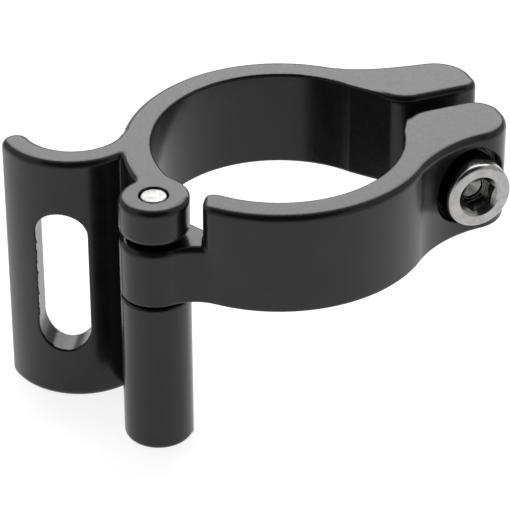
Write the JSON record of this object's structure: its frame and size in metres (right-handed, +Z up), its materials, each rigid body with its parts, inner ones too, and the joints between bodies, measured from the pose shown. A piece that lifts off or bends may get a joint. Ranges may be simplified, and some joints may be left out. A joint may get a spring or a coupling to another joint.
{
  "type": "hinged seat tube clamp with front derailleur mount",
  "caption": "Hinged clamp band for a bicycle seat tube, with a curved slotted plate that carries a front derailleur and a socket bolt through its ears.",
  "frame": {"origin": "on the seat tube's axis, 6.8 mm below the top of the band", "axes": "+Z up along the seat tube; +X from the slotted plate towards the ears; +Y from the hinge side towards the back of the band"},
  "size_m": [0.064, 0.0433, 0.0357],
  "materials": {
    "black_anodised": "glossy black anodised",
    "bright_steel": "bright zinc plated"
  },
  "bodies": {
    "clamp_body": {"clamp_body": "black_anodised", "hinge_pin": "bright_steel"},
    "arm": {"hinge_arm": "black_anodised"},
    "washer": {"bolt_washer": "bright_steel"},
    "bolt": {"clamp_bolt": "bright_steel"}
  },
  "joints": [
    {"name": "arm_swing", "type": "hinge", "parent": "clamp_body", "child": "arm", "pos_m": [-0.01327, -0.0164, 0], "axis": [0, 0, -1], "range_deg": [0, 90]},
    {"name": "bolt_withdraw", "type": "slide", "parent": "arm", "child": "washer", "axis": [0.5, -0.866, 0], "range_m": [0, 0.00601]},
    {"name": "bolt_turn", "type": "hinge", "parent": "washer", "child": "bolt", "pos_m": [0.02423, 0.00244, 0], "axis": [0.5, -0.866, 0], "range_deg": [0, 2700]}
  ],
  "couplings": [
    {"joint": "bolt_withdraw", "follows": "arm_swing", "m_per_rad": 0.0038197},
    {"joint": "bolt_turn", "follows": "arm_swing", "ratio": 29.99}
  ]
}
